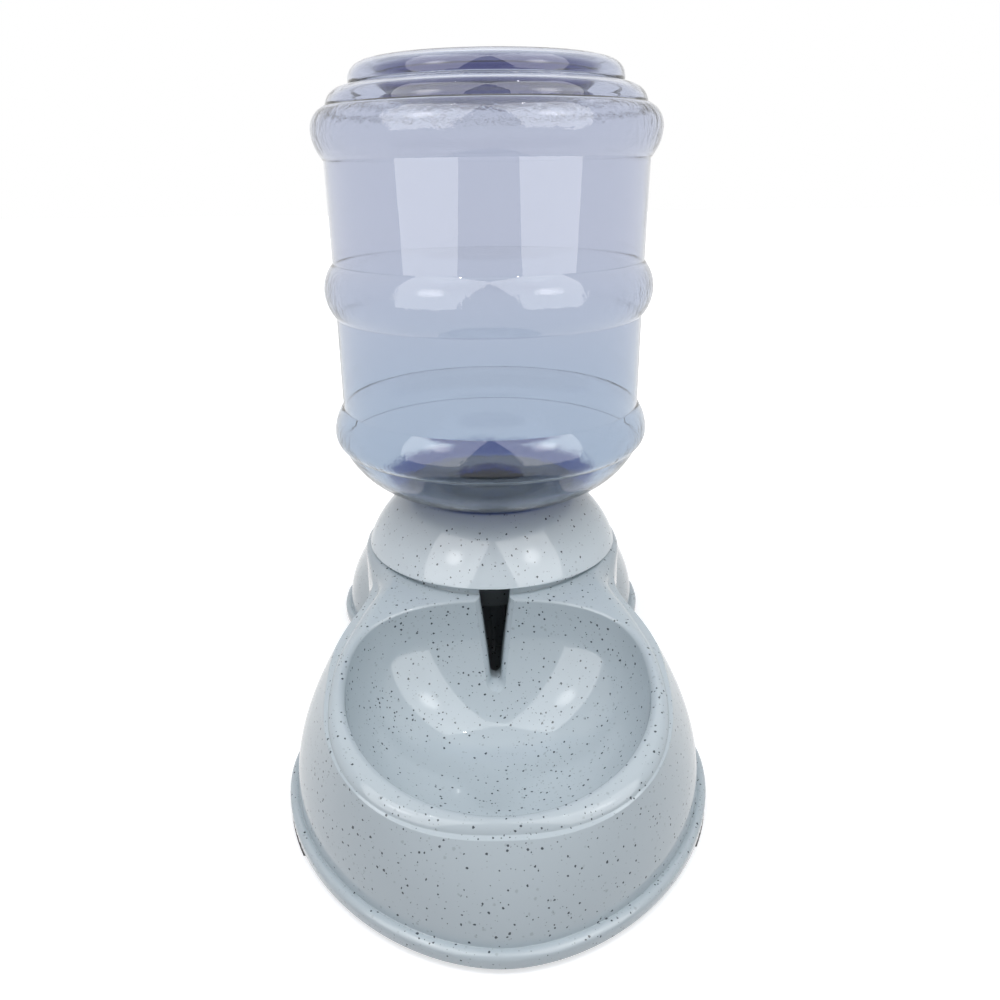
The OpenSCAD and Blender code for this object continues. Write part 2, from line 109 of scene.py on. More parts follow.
mirrored = add("ShaderNodeMath", [(0, glossy), (1, passed)], operation="MAXIMUM")
seen = rays.outputs["Is Camera Ray"]
direct = add("ShaderNodeMixShader", [(0, seen), (1, shader.outputs[0]), (2, lit.outputs[0])])
mixed = add("ShaderNodeMixShader", [(0, mirrored.outputs[0]), (1, direct.outputs[0]), (2, white.outputs[0])])
tree.links.new(mixed.outputs[0], tree.nodes["Material Output"].inputs[0])
floor_mesh.materials.append(pale_sheet)

room = bpy.data.worlds.new("room")
bpy.context.scene.world = room
room.use_nodes = True
room_tree = room.node_tree
dim = room_tree.nodes["Background"]
dim.inputs[0].default_value = (0.93, 0.96, 1.0, 1)
dim.inputs[1].default_value = 0.46
backdrop = room_tree.nodes.new("ShaderNodeBackground")
backdrop.inputs[0].default_value = (1, 1, 1, 1)
backdrop.inputs[1].default_value = 1.0
path = room_tree.nodes.new("ShaderNodeLightPath")
pick = room_tree.nodes.new("ShaderNodeMixShader")
joined = path.outputs["Is Camera Ray"]
for kind in ("Is Glossy Ray", "Is Transmission Ray"):
    either = room_tree.nodes.new("ShaderNodeMath")
    either.operation = "MAXIMUM"
    room_tree.links.new(joined, either.inputs[0])
    room_tree.links.new(path.outputs[kind], either.inputs[1])
    joined = either.outputs[0]
room_tree.links.new(joined, pick.inputs[0])
room_tree.links.new(dim.outputs[0], pick.inputs[1])
room_tree.links.new(backdrop.outputs[0], pick.inputs[2])
room_tree.links.new(pick.outputs[0], room_tree.nodes["World Output"].inputs[0])


def softbox(name, place, target, width, height, watts, colour, shows="both", glow=0.0):
    """A rectangular lamp that shows on matt surfaces, in gloss with a brighter middle, or both."""
    data = bpy.data.lights.new(name, "AREA")
    data.shape = "RECTANGLE"
    data.size = width
    data.size_y = height
    data.energy = watts
    data.color = colour
    lamp = bpy.data.objects.new(name, data)
    bpy.context.scene.collection.objects.link(lamp)
    facing = Vector(place) - Vector(target)
    lamp.matrix_world = Matrix.Translation(place) @ facing.to_track_quat("Z", "Y").to_matrix().to_4x4()
    lamp.visible_camera = False
    if shows == "matt":
        lamp.visible_glossy = False
        lamp.visible_transmission = False
    if shows == "gloss":
        lamp.visible_diffuse = False
        lamp.visible_transmission = False
        data.use_nodes = True
        lamp_tree = data.node_tree
        emission = lamp_tree.nodes["Emission"]
        across = lamp_tree.nodes.new("ShaderNodeNewGeometry")
        centred = lamp_tree.nodes.new("ShaderNodeMapping")
        centred.inputs["Location"].default_value = (-0.5 * width, -0.5 * height, 0)
        centred.inputs["Scale"].default_value = (width, height, 0)
        lamp_tree.links.new(across.outputs["Parametric"], centred.inputs["Vector"])
        length = lamp_tree.nodes.new("ShaderNodeVectorMath")
        length.operation = "LENGTH"
        lamp_tree.links.new(centred.outputs[0], length.inputs[0])
        spread = lamp_tree.nodes.new("ShaderNodeMapRange")
        spread.interpolation_type = "SMOOTHERSTEP"
        spread.inputs[1].default_value = 0.17
        spread.inputs[2].default_value = 0.02
        spread.inputs[3].default_value = 1.0
        spread.inputs[4].default_value = 1.0 + glow
        lamp_tree.links.new(length.outputs["Value"], spread.inputs[0])
        lamp_tree.links.new(spread.outputs[0], emission.inputs["Strength"])
    return lamp


WINDOW_W, WINDOW_H, WINDOW_X, WINDOW_Y, WINDOW_Z = 0.67, 1.15, 0.43, -0.46, 0.58
WINDOW_WATTS, SKY_WATTS, POINT_WATTS, OVERHEAD_WATTS = 7.0, 3.1, 0.16, 4.0
WHITE = (1, 1, 1)
for side, mark, tone in ((-1, "left", (0.98, 0.97, 1.0)), (1, "right", (0.95, 0.98, 1.0))):
    spot = (side * WINDOW_X, WINDOW_Y, WINDOW_Z)
    middle = (0, 0.02, 0.2)
    softbox("window_" + mark, spot, middle, WINDOW_W, WINDOW_H, WINDOW_WATTS, WHITE, shows="gloss", glow=1.6)
    softbox("sky_" + mark, (side * 0.34, -0.36, 1.0), (0, 0, 0.1), 0.5, 0.5, SKY_WATTS, tone, shows="matt")
    point = (side * 0.32, -0.35, 1.5)
    softbox("ceiling_point_" + mark, point, (0, 0, 0.2), 0.03, 0.03, POINT_WATTS, WHITE, shows="gloss")
softbox("overhead", (0.0, 0.1, 1.6), (0, 0, 0.1), 1.6, 1.4, OVERHEAD_WATTS, (0.93, 0.985, 1.0))

# The base is one glossy injection moulding: a deep bowl, a raised housing with the well behind it,
# a slot that lets the water through, and a bead round the floor edge. The plastic is a pale
# blue-grey with fine dark flecks mixed in.
LENGTH, WIDTH, REAR_WIDTH, WAIST = 318.0, 199.8, 197.6, 153.0
FRONT_END, REAR_END = -LENGTH / 2 - 50.5, LENGTH / 2 - 50.5
FRONT_LOBE, REAR_LOBE, REAR_FLARE = 112.0, 26.0, 72.0
FOOT_H, FLANGE_H, FLANGE_OUT, WALL = 2.5, 6.5, 4.25, 2.6
WALL_Z = FOOT_H + FLANGE_H
DECK_Z, DECK_T, RIM_FRONT_Z, RIM_W, RIM_ROUND, WAIST_ROUND = 85.6, 4.4, 54.5, 6.5, 4.0, 9.0
DECK_WAIST, COLLAR_R, DECK_OUT = 119.0, 68.2, 2.25
BOWL_W, BOWL_MID, BOWL_BACK, BOWL_FLOOR = 134.0, 118.0, 69.4, 16.0
BOWL_LIP, LIP_BACK = 3.0, 1.2
BOWL_FRONT = FRONT_END + 24
RIM_FRONT, RIM_REAR = BOWL_FRONT - RIM_W, COLLAR_R + DECK_OUT
WELL_R, WELL_FLOOR, WELL_TOP, SEAT_R = 61.0, 14.0, 120, 65.2
SLOT_TOP_W, SLOT_LOW_W, SLOT_Z, SLOT_LIP, SLOT_DIP = 16.0, 5.0, 38.6, 3.4, 3.5
FRONT_N, FLANK_REACH, FLANK_N, FLARE_N, REAR_N, LEAN_N = 1.84, 78, 4, 2.5, 3.4, 1.83
RIM_N, JOIN_N, JOIN_REACH, DECK_REACH = 2.4, 2.2, 88, 62
CREST_Y, CREST_SOFT = -53, 3
WAIST_EASE, WAIST_END, WAIST_FULL = 40, 22, 44
POST_TOP = 44
SIDE_N, BOWL_N = 110, 200


def lobe(y, mid, half, ahead, behind, n):
    d = abs(y - mid) / (ahead if y < mid else behind)
    return 0.0 if d >= 1 else half * (1 - d**n) ** (1 / n)


def run_together(a, b, c):
    return (a**16 + b**16 + c**16) ** (1 / 16)


def ramp(y, y0, y1):
    v = min(1, max(0, (y - y0) / (y1 - y0)))
    return v * v * (3 - 2 * v)


def flange_half(y, inset):
    rear_mid = REAR_END - REAR_LOBE
    n = FLARE_N if y < rear_mid else REAR_N
    return run_together(
        lobe(y, FRONT_END + FRONT_LOBE, WIDTH / 2 - inset, FRONT_LOBE - inset, FRONT_LOBE, FRONT_N),
        lobe(y, 10, WAIST / 2 - inset, FLANK_REACH, FLANK_REACH, FLANK_N),
        lobe(y, rear_mid, REAR_WIDTH / 2 - inset, REAR_FLARE, REAR_LOBE - inset, n),
    )


def rim_half(y, inset):
    reach, ahead = RIM_REAR - inset, -BOWL_MID - RIM_FRONT - inset
    n = RIM_N if y < -BOWL_MID else JOIN_N
    return run_together(
        lobe(y, -BOWL_MID, BOWL_W / 2 + RIM_W - inset, ahead, JOIN_REACH, n),
        lobe(y, -30, DECK_WAIST / 2 - inset, DECK_REACH, DECK_REACH, 6),
        lobe(y, 0, reach, reach, reach, 2),
    )


def base_outline(half, y0, y1, inset):
    """A closed outline, anticlockwise from the front, with its points close together at both ends."""
    points = []
    for i in range(2 * SIDE_N):
        right = i <= SIDE_N
        u = (i if right else 2 * SIDE_N - i) / SIDE_N
        y = y0 + (y1 - y0) * u * u / (u * u + (1 - u) ** 2)
        points.append(((1 if right else -1) * half(y, inset), y))
    return points


def flange_line(inset):
    return base_outline(flange_half, FRONT_END + inset, REAR_END - inset, inset)


def rim_line(inset):
    return base_outline(rim_half, RIM_FRONT + inset, RIM_REAR - inset, inset)


def deck_height(y):
    """The rim climbs from the front as a plane, and runs softly into the level deck."""
    v = (DECK_Z - RIM_FRONT_Z) * (1 - (y - BOWL_FRONT) / (CREST_Y - BOWL_FRONT))
    return DECK_Z - CREST_SOFT * math.log(1 + math.exp(v / CREST_SOFT))


def waist_share(y):
    """1 along the waist and 0 at the bowl and the rear."""
    return ramp(y, -BOWL_MID, -BOWL_MID + WAIST_EASE) * ramp(-y, WAIST_END, WAIST_FULL)


def edge_radius(y):
    return RIM_ROUND + (WAIST_ROUND - RIM_ROUND) * waist_share(y)


def wall_ring(inset, drop, share):
    """One line round the wall, from the foot (share 0) to the edge of the rim and deck (share 1)."""
    ring = []
    for foot, rim in zip(flange_line(FLANGE_OUT + inset), rim_line(inset)):
        crest = deck_height(rim[1])
        z = WALL_Z + share * (crest - edge_radius(rim[1]) - drop - WALL_Z)
        lean = ((z - WALL_Z) / (crest - WALL_Z)) ** LEAN_N
        ring.append((foot[0] + (rim[0] - foot[0]) * lean, foot[1] + (rim[1] - foot[1]) * lean, z))
    return ring


def flange_ring(inset, z):
    return [(x, y, z) for x, y in flange_line(inset)]


def edge_ring(degrees):
    """One line of the rounded edge of the rim and deck, which is rounder at the waist."""
    a = math.radians(degrees)
    ring = []
    for near, far in zip(rim_line(RIM_ROUND * (1 - math.cos(a))), rim_line(WAIST_ROUND * (1 - math.cos(a)))):
        share = waist_share(near[1])
        x, y = near[0] + (far[0] - near[0]) * share, near[1] + (far[1] - near[1]) * share
        ring.append((x, y, deck_height(y) - edge_radius(near[1]) * (1 - math.sin(a))))
    return ring


def bowl_mouth(i, grow):
    a = 2 * math.pi * i / BOWL_N
    c, s = math.cos(a), math.sin(a)
    n = 2 if s < 0 else 2.6
    reach = (-BOWL_MID - BOWL_FRONT if s < 0 else BOWL_MID - BOWL_BACK) + grow
    return (
        (BOWL_W / 2 + grow) * math.copysign(abs(c) ** (2 / n), c),
        -BOWL_MID + reach * math.copysign(abs(s) ** (2 / n), s),
    )


def lip_radius(y):
    return LIP_BACK + (BOWL_LIP - LIP_BACK) * ramp(-y, BOWL_BACK + 8, BOWL_MID)


def bowl_ring(degrees, grow):
    ring = []
    tilt = math.radians(degrees)
    low = BOWL_FLOOR - grow
    for i in range(BOWL_N):
        x, y = bowl_mouth(i, grow)
        k = math.sin(tilt)
        z = low + (deck_height(y) - lip_radius(y) - low) * (1 - math.cos(tilt))
        ring.append((x * k, -BOWL_MID + (y + BOWL_MID) * k, z))
    return ring


def bowl_lip_ring(degrees, grow, up):
    a = math.radians(degrees)
    ring = []
    for i in range(BOWL_N):
        lip = lip_radius(bowl_mouth(i, grow)[1])
        x, y = bowl_mouth(i, grow + lip * (1 - math.cos(a)))
        ring.append((x, y, deck_height(y) - lip * (1 - math.sin(a)) + up))
    return ring


def moulded(name, rings, mirrored=True):
    """A closed solid through rings in millimetres about the bottle's axis, in metres about the frame's."""
    n = len(rings[0])
    half = n // 2
    faces = []

    def cap(o, turn):
        if mirrored:
            quads = [(o, o + 1, o + n - 1)]
            quads += [(o + i, o + i + 1, o + n - i - 1, o + n - i) for i in range(1, half - 1)]
            quads += [(o + half - 1, o + half, o + half + 1)]
        else:
            quads = [tuple(range(o, o + n))]
        return [q[::-1] for q in quads] if turn else quads

    faces += cap(0, True)
    for j in range(len(rings) - 1):
        for i in range(n):
            k = (i + 1) % n
            faces.append((j * n + i, j * n + k, (j + 1) * n + k, (j + 1) * n + i))
    faces += cap((len(rings) - 1) * n, False)
    mesh = bpy.data.meshes.new(name)
    points = [(x / 1000, y / 1000 + AXIS_Y, z / 1000) for ring in rings for x, y, z in ring]
    mesh.from_pydata(points, [], faces)
    mesh.validate()
    made = bpy.data.objects.new(name, mesh)
    bpy.context.scene.collection.objects.link(made)
    return made


def round_line(r, z, n=192):
    return [(r * math.cos(2 * math.pi * i / n), r * math.sin(2 * math.pi * i / n), z) for i in range(n)]


def mould_with(target, tool, operation):
    """target joined with or cut by tool, which is then removed."""
    cut = target.modifiers.new("cut", "BOOLEAN")
    cut.operation = operation
    cut.object = tool
    cut.solver = "MANIFOLD"
    depsgraph = bpy.context.evaluated_depsgraph_get()
    result = bpy.data.meshes.new_from_object(target.evaluated_get(depsgraph))
    target.modifiers.clear()
    target.data = result
    bpy.data.objects.remove(tool)


def slot_section(grow):
    """The slot's funnel-shaped section: a rounded foot, and sides that spread towards the deck."""
    low_r, low_z = SLOT_LOW_W / 2 + grow, SLOT_Z + SLOT_LOW_W / 2
    turns = [math.radians(a) for a in range(180, 361, 10)]
    foot = [(low_r * math.cos(a), low_z + low_r * math.sin(a)) for a in turns]
    top_r, top = SLOT_TOP_W / 2 + grow, DECK_Z + 1
    side = [(low_r + (top_r - low_r) * k / 6, low_z + (top - low_z) * k / 6) for k in range(1, 7)]
    return foot + side + [(-x, z) for x, z in side[::-1]]


def slot_line(y, grow, dip):
    """One line of the slot at a distance along the base. Its foot dips towards the well."""
    line = []
    for x, z in slot_section(grow):
        share = max(0, 1 - max(0, z - SLOT_Z + grow) / 12)
        line.append((x, y, z - dip * share))
    return line


def bowl_back_line(z):
    """Where the bowl's back wall stands at a height, on the middle line."""
    top = deck_height(-BOWL_BACK) - LIP_BACK
    c = min(1, max(0, 1 - (z - BOWL_FLOOR) / (top - BOWL_FLOOR)))
    return -BOWL_MID + (BOWL_MID - BOWL_BACK) * math.sqrt(1 - c * c)


def slot_ring(degrees, ahead):
    """One line of the slot's flared mouth. The flare is deeper at the foot, which spills into the bowl."""
    a = math.radians(degrees)
    ring = []
    for x, z in slot_section(SLOT_LIP * (1 - math.sin(a))):
        foot = max(0, 1 - max(0, z - SLOT_Z + SLOT_LIP) / 9)
        depth = (SLOT_LIP + 8 * foot) * (1 - math.cos(a))
        ring.append((x, bowl_back_line(z) + depth - ahead, z))
    return ring


bead = FLANGE_H * 0.35
bead_turns = [math.radians(a) for a in range(10, 91, 10)]
base = moulded(
    "base_moulding",
    [flange_ring(0.8, FOOT_H), flange_ring(0.25, FOOT_H + 0.25), flange_ring(0, FOOT_H + 0.8)]
    + [flange_ring(0, WALL_Z - bead)]
    + [flange_ring(bead * (1 - math.cos(a)), WALL_Z - bead * (1 - math.sin(a))) for a in bead_turns]
    + [flange_ring(FLANGE_OUT - 0.7, WALL_Z - 0.12), flange_ring(FLANGE_OUT - 0.2, WALL_Z - 0.45)]
    + [flange_ring(FLANGE_OUT, WALL_Z - 0.3)]
    + [wall_ring(0, 0, s / 26) for s in range(27)]
    + [edge_ring(a) for a in range(10, 91, 10)],
)
hollow = moulded(
    "hollow",
    [flange_ring(FLANGE_OUT + WALL, FOOT_H - 1), flange_ring(FLANGE_OUT + WALL, WALL_Z)]
    + [wall_ring(WALL, DECK_T - RIM_ROUND / 2, s / 10) for s in range(1, 11)],
)
bowl_wall = moulded(
    "bowl_wall",
    [bowl_ring(a, WALL) for a in range(9, 91, 9)] + [bowl_lip_ring(0, WALL, DECK_Z)],
    mirrored=False,
)
mould_with(hollow, bowl_wall, "DIFFERENCE")
well_wall = moulded(
    "well_wall",
    [round_line(WELL_R + WALL, WELL_FLOOR - WALL), round_line(WELL_R + WALL, WELL_TOP)],
    mirrored=False,
)
mould_with(hollow, well_wall, "DIFFERENCE")
slot_wall = moulded(
    "slot_wall",
    [slot_line(-WELL_R + 8, WALL, SLOT_DIP), slot_line(-BOWL_BACK - 18, WALL, SLOT_DIP)],
    mirrored=False,
)
mould_with(hollow, slot_wall, "DIFFERENCE")
mould_with(base, hollow, "DIFFERENCE")
bowl = moulded(
    "bowl",
    [bowl_ring(a, 0) for a in [1] + list(range(3, 91, 3))]
    + [bowl_lip_ring(a, 0, 0) for a in range(10, 91, 10)]
    + [bowl_lip_ring(90, 0, DECK_Z)],
    mirrored=False,
)
mould_with(base, bowl, "DIFFERENCE")
seat = moulded("seat", [round_line(SEAT_R, DECK_Z - DECK_T - 2), round_line(SEAT_R, DECK_Z)], mirrored=False)
mould_with(base, seat, "UNION")
well = moulded("well", [round_line(WELL_R, WELL_FLOOR), round_line(WELL_R, WELL_TOP)], mirrored=False)
mould_with(base, well, "DIFFERENCE")
slot = moulded(
    "slot",
    [slot_line(-WELL_R + 12, 0, SLOT_DIP), slot_line(-WELL_R - 1, 0, SLOT_DIP)]
    + [slot_ring(a, 0) for a in range(90, 19, -7)]
    + [slot_ring(20, 10)],
    mirrored=False,
)
mould_with(base, slot, "DIFFERENCE")
for name, dx, dy in (("fin_across", 7, 1.2), ("fin_along", 1.2, 7)):
    ring = [(-dx, -dy), (dx, -dy), (dx, dy), (-dx, dy)]
    fin = moulded(name, [[(x, y, z) for x, y in ring] for z in (WELL_FLOOR - 0.5, POST_TOP)], mirrored=False)
    mould_with(base, fin, "UNION")


def smooth_faces(piece, degrees):
    """Merges doubles, turns the faces outwards and shades smooth, with sharp edges kept above an angle."""
    edit = bmesh.new()
    edit.from_mesh(piece.data)
    bmesh.ops.remove_doubles(edit, verts=edit.verts, dist=0.000002)
    bmesh.ops.recalc_face_normals(edit, faces=edit.faces)
    edit.to_mesh(piece.data)
    edit.free()
    piece.data.polygons.foreach_set("use_smooth", [True] * len(piece.data.polygons))
    piece.data.set_sharp_from_angle(angle=math.radians(degrees))
    piece.data.update()


smooth_faces(base, 30)


def flecked_plastic(name, colour, roughness, share):
    """Glossy plastic with flecks mixed through it: fine dark ones, and fainter ones below the surface.
    share is how many of the places for a fleck hold one."""
    made, tree, shader, add = new_finish(name)
    place = add("ShaderNodeTexCoord")
    wobble = add("ShaderNodeTexNoise", [("Vector", place.outputs["Object"])])
    wobble.inputs["Scale"].default_value = 900
    wobble.inputs["Detail"].default_value = 1
    shift = add("ShaderNodeVectorMath", [(0, wobble.outputs["Color"])], operation="MULTIPLY_ADD")
    shift.inputs[1].default_value = (0.0009,) * 3
    tree.links.new(place.outputs["Object"], shift.inputs[2])
    clusters = add("ShaderNodeTexNoise", [("Vector", place.outputs["Object"])])
    clusters.inputs["Scale"].default_value = 34
    clusters.inputs["Detail"].default_value = 2
    gather = add(
        "ShaderNodeMapRange", [(0, clusters.outputs["Fac"])], in_1=0.36, in_2=0.64, in_3=-0.22, in_4=0.22
    )
    layers = []
    for scale, size, soft, strength, odds, spin in (
        (400, 0.19, 0.05, 0.93, share, 0.0),
        (260, 0.15, 0.10, 0.22, 0.8, 1.3),
        (700, 0.16, 0.08, 0.50, share * 0.7, 2.1),
    ):
        turned = add("ShaderNodeMapping", [("Vector", shift.outputs[0])])
        turned.inputs["Rotation"].default_value = (spin, spin * 0.7, spin * 0.4)
        cells = add("ShaderNodeTexVoronoi", [("Vector", turned.outputs[0])])
        cells.inputs["Scale"].default_value = scale
        chance = add("ShaderNodeSeparateColor", [(0, cells.outputs["Color"])])
        radius = add("ShaderNodeMapRange", [(0, chance.outputs[0])], in_3=size * 0.45, in_4=size * 1.25)
        distance = cells.outputs["Distance"]
        inside = add("ShaderNodeMath", [(0, radius.outputs[0]), (1, distance)], operation="SUBTRACT")
        half = soft * 0.5
        fade = add("ShaderNodeMapRange", [(0, inside.outputs[0])], in_1=-half, in_2=half, in_4=strength)
        bar = add("ShaderNodeMath", [(0, gather.outputs[0])], operation="ADD", in_1=odds)
        held = add("ShaderNodeMath", [(0, chance.outputs[1]), (1, bar.outputs[0])], operation="LESS_THAN")
        fleck = add("ShaderNodeMath", [(0, fade.outputs[0]), (1, held.outputs[0])], operation="MULTIPLY")
        layers.append(fleck.outputs[0])
    most = add("ShaderNodeMath", [(0, layers[0]), (1, layers[1])], operation="MAXIMUM")
    flecks = add("ShaderNodeMath", [(0, most.outputs[0]), (1, layers[2])], operation="MAXIMUM")
    cloud = add("ShaderNodeTexNoise", [("Vector", place.outputs["Object"])])
    cloud.inputs["Scale"].default_value = 9
    cloud.inputs["Detail"].default_value = 3
    tint = add("ShaderNodeMix", [(0, cloud.outputs["Fac"])], data_type="RGBA")
    tint.inputs[6].default_value = (*[c * 0.97 for c in colour], 1)
    tint.inputs[7].default_value = (*[min(1, c * 1.03) for c in colour], 1)
    paint = add("ShaderNodeMix", [(0, flecks.outputs[0]), (6, tint.outputs[2])], data_type="RGBA")
    paint.inputs[7].default_value = (0.035, 0.045, 0.06, 1)
    tree.links.new(paint.outputs[2], shader.inputs["Base Color"])
    least, most_rough = roughness * 0.85, roughness * 1.2
    rough = add("ShaderNodeMapRange", [(0, cloud.outputs["Fac"])], in_3=least, in_4=most_rough)
    tree.links.new(rough.outputs[0], shader.inputs["Roughness"])
    flow = add("ShaderNodeTexNoise", [("Vector", place.outputs["Object"])])
    flow.inputs["Scale"].default_value = 70
    flow.inputs["Detail"].default_value = 2
    edge = add("ShaderNodeBevel", in_0=0.0006)
    edge.samples = 4
    bump = add("ShaderNodeBump", [("Height", flow.outputs["Fac"]), ("Normal", edge.outputs[0])])
    bump.inputs["Strength"].default_value = 0.012
    bump.inputs["Distance"].default_value = 0.0003
    tree.links.new(bump.outputs[0], shader.inputs["Normal"])
    shader.inputs["IOR"].default_value = 1.48
    return made


base.data.materials.clear()
base.data.materials.append(flecked_plastic("flecked_plastic_base", (0.49, 0.55, 0.585), 0.06, 0.62))
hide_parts("base")
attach(base, "root")

# Four rubber strips stand under the bead, two in front and two behind. Each is moulded in soft black
# rubber with a matt, slightly dusty grain, and is held by two studs that press up into the flange.
FEET = ("foot_front_left", "foot_front_right", "foot_rear_left", "foot_rear_right")


def grained_rubber(name, dark, light):
    made, tree, shader, add = new_finish(name)
    place = add("ShaderNodeTexCoord")
    grain = add("ShaderNodeTexNoise", [("Vector", place.outputs["Object"])])
    grain.inputs["Scale"].default_value = 1400
    grain.inputs["Detail"].default_value = 4
    shade = add("ShaderNodeMix", [(0, grain.outputs["Fac"])], data_type="RGBA")
    shade.inputs[6].default_value = (*dark, 1)
    shade.inputs[7].default_value = (*light, 1)
    tree.links.new(shade.outputs[2], shader.inputs["Base Color"])
    rough = add("ShaderNodeMapRange", [(0, grain.outputs["Fac"])], in_3=0.6, in_4=0.8)
    tree.links.new(rough.outputs[0], shader.inputs["Roughness"])
    bump = add("ShaderNodeBump", [("Height", grain.outputs["Fac"])])
    bump.inputs["Strength"].default_value = 0.25
    bump.inputs["Distance"].default_value = 0.0002
    tree.links.new(bump.outputs[0], shader.inputs["Normal"])
    return made


black_rubber = grained_rubber("black_rubber", (0.012, 0.012, 0.014), (0.03, 0.03, 0.033))
for name in FEET:
    nodes[name].data.materials.clear()
    nodes[name].data.materials.append(black_rubber)

# The collar is a second moulding in the same plastic, with its colour painted much lighter than the base's as
# painted light on its sloped side.
# Its side is nearly a cone, its top is dished round the socket for the bottle's neck, and the outlet tube
# hangs below.
# It rests on the deck round the well, with a hairline gap, and its spigot is open where the slot passes.
EDGE_Z = DECK_Z + 0.8
DOME_IN, DOME_H, DOME_TOP_R, COLLAR_T = 1.9, 39.8, 37.0, 2.4
CROWN_R, CROWN_H, CROWN_N, CROWN_TOP_R = 66.6, 52.6, 1.6, 46.4
DOME_Z = EDGE_Z - 3.4
DOME_HIGH = math.acos((DOME_TOP_R - DOME_IN) / (COLLAR_R - DOME_IN))
DOME_TOP_Z = DOME_Z + DOME_H * math.sin(DOME_HIGH)
DISH_Z = DOME_TOP_Z - 1
SHOULDER_Z = DISH_Z + 2.6
MOUTH_Z = SHOULDER_Z - 26.5
SOCKET_Z, SOCKET_R = MOUTH_Z - 2, 20.8 + 1.8
CAGE_Z, SEAT_Z, OUTLET_Z, OUTLET_R, PORT_R = SOCKET_Z - 20, 49 + 2.4, 49.0, 14.6, 8
HAIRLINE = 0.4


def turned(name, profile, n=240):
    """A closed profile of (radius, height) in millimetres, turned about the bottle's axis."""
    rings = [round_line(r, z, n) for r, z in profile]
    points = [(x / 1000, y / 1000 + AXIS_Y, z / 1000) for ring in rings for x, y, z in ring]
    m = len(profile)
    faces = []
    for j in range(m):
        k = (j + 1) % m
        if profile[j][0] == 0 and profile[k][0] == 0:
            continue
        faces += [(j * n + i, j * n + (i + 1) % n, k * n + (i + 1) % n, k * n + i) for i in range(n)]
    mesh = bpy.data.meshes.new(name)
    mesh.from_pydata(points, [], faces)
    made = bpy.data.objects.new(name, mesh)
    bpy.context.scene.collection.objects.link(made)
    return made


def dome_at(a, t):
    return (DOME_IN + (COLLAR_R - DOME_IN - t) * math.cos(a), DOME_Z + (DOME_H - t) * math.sin(a))


def steps(a, b, n):
    return [a + (b - a) * i / n for i in range(n + 1)]


def collar_side(r):
    """Height of the collar's outside at a radius: nearly a cone, which turns upright at the lower edge."""
    return DOME_Z + CROWN_H * (1 - ((r - DOME_IN) / CROWN_R) ** CROWN_N) ** (1 / CROWN_N)


under_z = DECK_Z + COLLAR_T
inner_low = math.asin((under_z - DOME_Z) / (DOME_H - COLLAR_T))
spigot_r = WELL_R - 0.6
rim_z = DECK_Z + HAIRLINE
rim_r = DOME_IN + CROWN_R * (1 - ((rim_z + 0.35 - DOME_Z) / CROWN_H) ** CROWN_N) ** (1 / CROWN_N)
crown_z = collar_side(CROWN_TOP_R)
collar = turned(
    "collar_moulding",
    [(SEAT_R + 1, DECK_Z), (SEAT_R + 1, rim_z), (rim_r - 0.35, rim_z)]
    + [(rim_r - 0.1, rim_z + 0.1), (rim_r, rim_z + 0.35)]
    + [(r, collar_side(r)) for r in [rim_r - (rim_r - CROWN_TOP_R) * (k / 48) ** 1.6 for k in range(1, 49)]]
    + [(CROWN_TOP_R - 0.5, crown_z + 0.4), (CROWN_TOP_R - 1.1, crown_z + 0.65)]
    + [(CROWN_TOP_R - 1.8, crown_z + 0.7), (CROWN_TOP_R - 2.5, crown_z + 0.55)]
    + [(CROWN_TOP_R - 3.1, crown_z + 0.2), (CROWN_TOP_R - 3.8, DISH_Z)]
    + [(SOCKET_R + 1, DISH_Z), (SOCKET_R + 0.3, DISH_Z - 0.3), (SOCKET_R, DISH_Z - 1)]
    + [(SOCKET_R, SOCKET_Z), (OUTLET_R, SOCKET_Z), (OUTLET_R, CAGE_Z), (OUTLET_R - 1, CAGE_Z)]
    + [(OUTLET_R - 1, SEAT_Z), (PORT_R, SEAT_Z), (PORT_R, OUTLET_Z), (OUTLET_R + COLLAR_T, OUTLET_Z)]
    + [(OUTLET_R + COLLAR_T, SOCKET_Z - COLLAR_T)]
    + [(SOCKET_R + COLLAR_T, SOCKET_Z - COLLAR_T), (SOCKET_R + COLLAR_T, DISH_Z - COLLAR_T)]
    + [dome_at(a, COLLAR_T) for a in steps(DOME_HIGH - math.radians(2), inner_low, 20)]
    + [(spigot_r - COLLAR_T, under_z), (spigot_r - COLLAR_T, DECK_Z - 6), (spigot_r - 0.8, DECK_Z - 6)]
    + [(spigot_r, DECK_Z - 1), (spigot_r, DECK_Z)],
)
gate_line = [(-10, -64), (10, -64), (10, -50), (-10, -50)]
gate_rings = [[(x, y, z) for x, y in gate_line] for z in (DECK_Z - 8, DECK_Z - 0.1)]
gate = moulded("gate", gate_rings, mirrored=False)
mould_with(collar, gate, "DIFFERENCE")
smooth_faces(collar, 28)
collar.data.materials.clear()
# Painted light: the collar's colour is lighter than the base's plastic, standing for the light on its sloped
# side.
collar.data.materials.append(flecked_plastic("flecked_plastic_collar_painted_light", (0.70, 0.765, 0.80), 0.05, 0.34))
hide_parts("collar")
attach(collar, "root")
